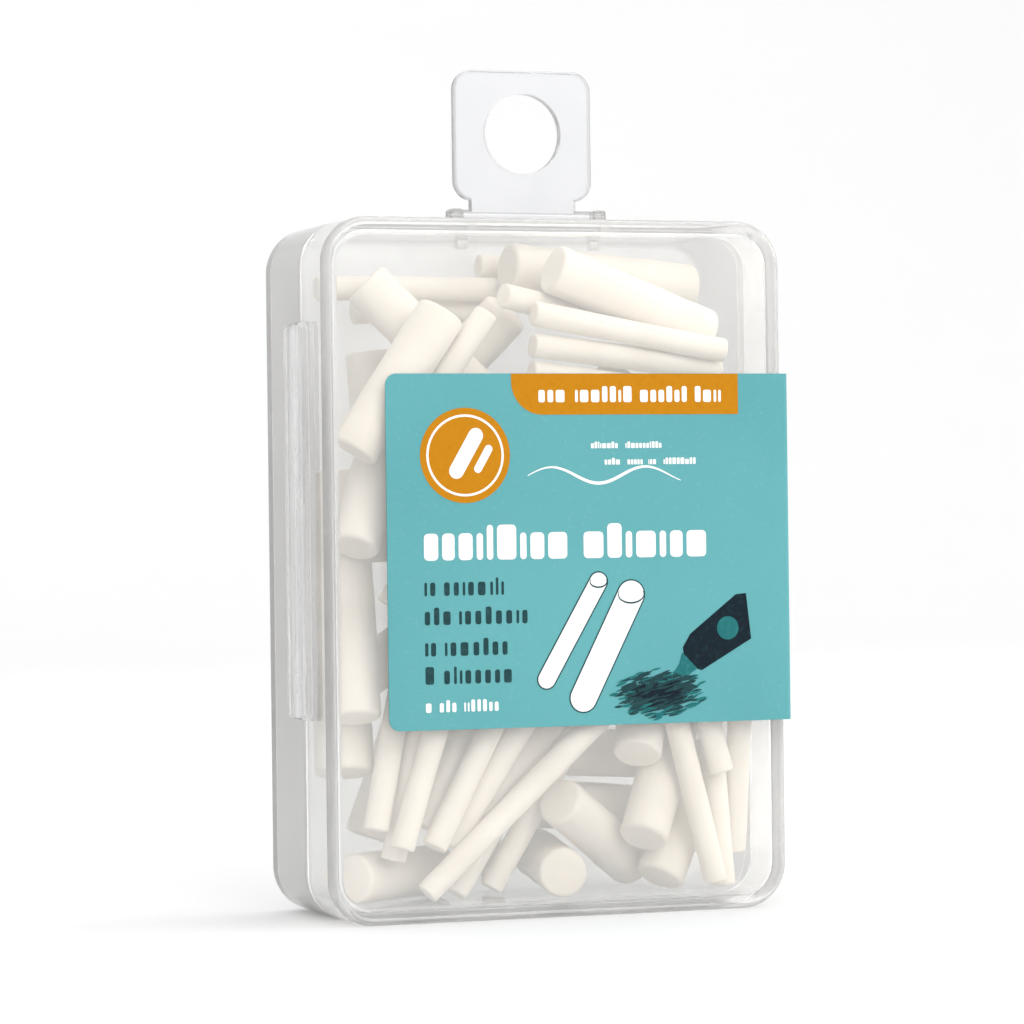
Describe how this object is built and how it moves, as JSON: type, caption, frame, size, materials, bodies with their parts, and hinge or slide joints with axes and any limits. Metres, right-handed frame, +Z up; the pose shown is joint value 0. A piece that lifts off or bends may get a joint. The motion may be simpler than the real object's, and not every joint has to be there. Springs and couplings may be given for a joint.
{
  "type": "refill box",
  "caption": "Clear plastic box with a hinged front lid and a folding hang tab, holding loose rubber refill sticks for a powered eraser.",
  "frame": {"origin": "centre of the box's bottom face", "axes": "+X to the right seen from the lid side, -Y is the lid's front, +Z is up to the hang tab"},
  "size_m": [0.0491, 0.0201, 0.0834],
  "materials": {
    "clear_base": "clear moulded, glossy",
    "clear_lid": "clear moulded, glossy",
    "clear_tab": "clear moulded, slightly hazy",
    "label_paper": "printed, matt, fine grain",
    "refill_thick": "soft, matt, powdery",
    "refill_thin": "soft, matt, powdery"
  },
  "bodies": {
    "base": {"base_tray": "clear_base", "base_leaf": "clear_base", "hinge_web": "clear_base", "latch_ridge": "clear_base", "tab_bracket": "clear_base", "thick_refill_01": "refill_thick", "thick_refill_02": "refill_thick", "thick_refill_03": "refill_thick", "thick_refill_04": "refill_thick", "thick_refill_05": "refill_thick", "thick_refill_06": "refill_thick", "thick_refill_07": "refill_thick", "thick_refill_08": "refill_thick", "thick_refill_09": "refill_thick", "thick_refill_10": "refill_thick", "thick_refill_11": "refill_thick", "thick_refill_12": "refill_thick", "thick_refill_13": "refill_thick", "thick_refill_14": "refill_thick", "thick_refill_15": "refill_thick", "thick_refill_16": "refill_thick", "thick_refill_17": "refill_thick", "thick_refill_18": "refill_thick", "thick_refill_19": "refill_thick", "thick_refill_20": "refill_thick", "thick_refill_21": "refill_thick", "thick_refill_22": "refill_thick", "thick_refill_23": "refill_thick", "thin_refill_01": "refill_thin", "thin_refill_02": "refill_thin", "thin_refill_03": "refill_thin", "thin_refill_04": "refill_thin", "thin_refill_05": "refill_thin", "thin_refill_06": "refill_thin", "thin_refill_07": "refill_thin", "thin_refill_08": "refill_thin", "thin_refill_09": "refill_thin", "thin_refill_10": "refill_thin", "thin_refill_11": "refill_thin", "thin_refill_12": "refill_thin", "thin_refill_13": "refill_thin", "thin_refill_14": "refill_thin", "thin_refill_15": "refill_thin", "thin_refill_16": "refill_thin", "thin_refill_17": "refill_thin", "thin_refill_18": "refill_thin", "thin_refill_19": "refill_thin", "thin_refill_20": "refill_thin", "thin_refill_21": "refill_thin", "thin_refill_22": "refill_thin", "thin_refill_23": "refill_thin", "thin_refill_24": "refill_thin", "thin_refill_25": "refill_thin"},
    "lid": {"lid": "clear_lid", "lid_leaf": "clear_lid", "latch_strip": "clear_lid", "label": "label_paper"},
    "hang_tab": {"hang_tab": "clear_tab"}
  },
  "joints": [
    {"name": "lid_hinge", "type": "hinge", "parent": "base", "child": "lid", "pos_m": [-0.02435, -0.0025, 0.03885], "axis": [0, 0, -1], "range_deg": [0, 180]},
    {"name": "tab_hinge", "type": "hinge", "parent": "base", "child": "hang_tab", "pos_m": [0.0004, 0.0005, 0.06895], "axis": [1, 0, 0], "range_deg": [-90, 90]}
  ]
}
